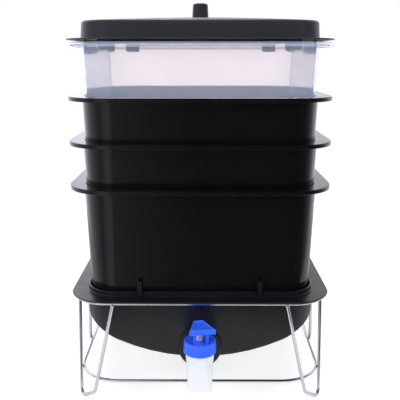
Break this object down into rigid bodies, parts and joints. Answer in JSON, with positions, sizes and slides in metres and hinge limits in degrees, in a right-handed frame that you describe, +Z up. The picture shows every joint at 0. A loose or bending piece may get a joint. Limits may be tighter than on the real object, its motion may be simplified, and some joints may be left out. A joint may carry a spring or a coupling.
{
  "type": "stacking tray wormery",
  "caption": "Square worm composter: black nesting trays and a clear top tray under a domed lid, on a black bin with a blue lever tap and a chrome wire stand.",
  "frame": {"origin": "centre of the overall box, at the ground under the wire feet", "axes": "+Z up; -Y is the front, where the tap is; +X is to the right seen from the front"},
  "size_m": [0.381, 0.418, 0.5925],
  "materials": {
    "tray_plastic": "gloss",
    "bin_plastic": "satin",
    "lid_plastic": "matte",
    "clear_plastic": "translucent",
    "stand_wire": "polished",
    "tap_blue": "gloss",
    "spout_plastic": "satin",
    "seal_rubber": "matte",
    "screw_steel": "satin"
  },
  "bodies": {
    "base": {"upper_ring": "stand_wire", "lower_ring": "stand_wire", "leg_front_left": "stand_wire", "leg_front_right": "stand_wire", "leg_back_left": "stand_wire", "leg_back_right": "stand_wire", "hairpin_left": "stand_wire", "hairpin_right": "stand_wire", "base_bin": "bin_plastic", "outer_washer": "seal_rubber", "inner_washer": "seal_rubber", "back_nut": "spout_plastic", "tap_body": "spout_plastic", "tap_cap": "tap_blue", "lever_pin": "screw_steel"},
    "lower_tray": {"lower_tray": "tray_plastic"},
    "middle_tray": {"middle_tray": "tray_plastic"},
    "upper_tray": {"upper_tray": "tray_plastic"},
    "clear_tray": {"clear_tray": "clear_plastic"},
    "lid": {"lid": "lid_plastic", "lid_knob": "lid_plastic", "knob_screw": "screw_steel"},
    "lever": {"tap_lever": "tap_blue"},
    "valve": {"valve_stem": "spout_plastic", "valve_seal": "seal_rubber"}
  },
  "joints": [
    {"name": "lower_tray_lift", "type": "slide", "parent": "base", "child": "lower_tray", "axis": [0, 0, 1], "range_m": [0, 0.06]},
    {"name": "middle_tray_lift", "type": "slide", "parent": "lower_tray", "child": "middle_tray", "axis": [0, 0, 1], "range_m": [0, 0.12]},
    {"name": "upper_tray_lift", "type": "slide", "parent": "middle_tray", "child": "upper_tray", "axis": [0, 0, 1], "range_m": [0, 0.12]},
    {"name": "clear_tray_lift", "type": "slide", "parent": "upper_tray", "child": "clear_tray", "axis": [0, 0, 1], "range_m": [0, 0.12]},
    {"name": "lid_lift", "type": "slide", "parent": "clear_tray", "child": "lid", "axis": [0, 0, 1], "range_m": [0, 0.08]},
    {"name": "lever_press", "type": "hinge", "parent": "base", "child": "lever", "pos_m": [0.00156, -0.19239, 0.13403], "axis": [0.9848, 0.1736, 0], "range_deg": [0, 25], "stiffness_Nm_per_rad": 0.3, "springref_deg": -14.32},
    {"name": "valve_lift", "type": "slide", "parent": "base", "child": "valve", "axis": [0, 0, 1], "range_m": [0, 0.004]}
  ],
  "couplings": [
    {"joint": "valve_lift", "follows": "lever_press", "m_per_rad": 0.009}
  ]
}
